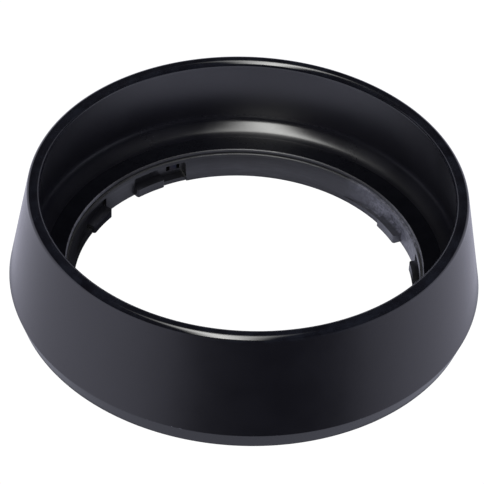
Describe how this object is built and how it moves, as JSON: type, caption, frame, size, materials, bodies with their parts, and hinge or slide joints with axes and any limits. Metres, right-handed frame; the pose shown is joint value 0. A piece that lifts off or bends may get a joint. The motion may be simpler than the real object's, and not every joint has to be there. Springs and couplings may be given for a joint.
{
  "type": "lens hood",
  "caption": "Short conical lens hood with a rounded front rim, an inner ledge and a rear bayonet ring held by screws.",
  "frame": {"origin": "on the optical axis, at the plane of the rear face that the hood stands on", "axes": "+Z along the optical axis, from the rear (lens) face to the front rim; +Y away from the viewer; +X to the viewer's right"},
  "size_m": [0.0788, 0.0788, 0.0213],
  "materials": {
    "shell_finish": "black satin enamel over turned aluminium, glossier on the rim",
    "ring_finish": "black anodised, fine turned satin",
    "spring_steel": "blued spring steel",
    "rivet_brass": "plain, dull",
    "screw_steel": "black oxide"
  },
  "bodies": {
    "hood": {"hood_shell": "shell_finish", "bayonet_ring": "ring_finish", "spring_rivets": "rivet_brass", "ring_screws": "screw_steel"},
    "right_detent": {"detent_spring_right": "spring_steel"},
    "left_detent": {"detent_spring_left": "spring_steel"},
    "front_detent": {"detent_spring_front": "spring_steel"}
  },
  "joints": [
    {"name": "right_detent_flex", "type": "hinge", "parent": "hood", "child": "right_detent", "pos_m": [0.02694, -0.01587, 0.0029], "axis": [0, 0, -1], "range_deg": [0, 1.6], "stiffness_Nm_per_rad": 0.08},
    {"name": "left_detent_flex", "type": "hinge", "parent": "hood", "child": "left_detent", "pos_m": [0.00027, 0.03126, 0.0029], "axis": [0, 0, -1], "range_deg": [0, 1.6], "stiffness_Nm_per_rad": 0.08},
    {"name": "front_detent_flex", "type": "hinge", "parent": "hood", "child": "front_detent", "pos_m": [-0.02721, -0.01539, 0.0029], "axis": [0, 0, -1], "range_deg": [0, 1.6], "stiffness_Nm_per_rad": 0.08}
  ]
}
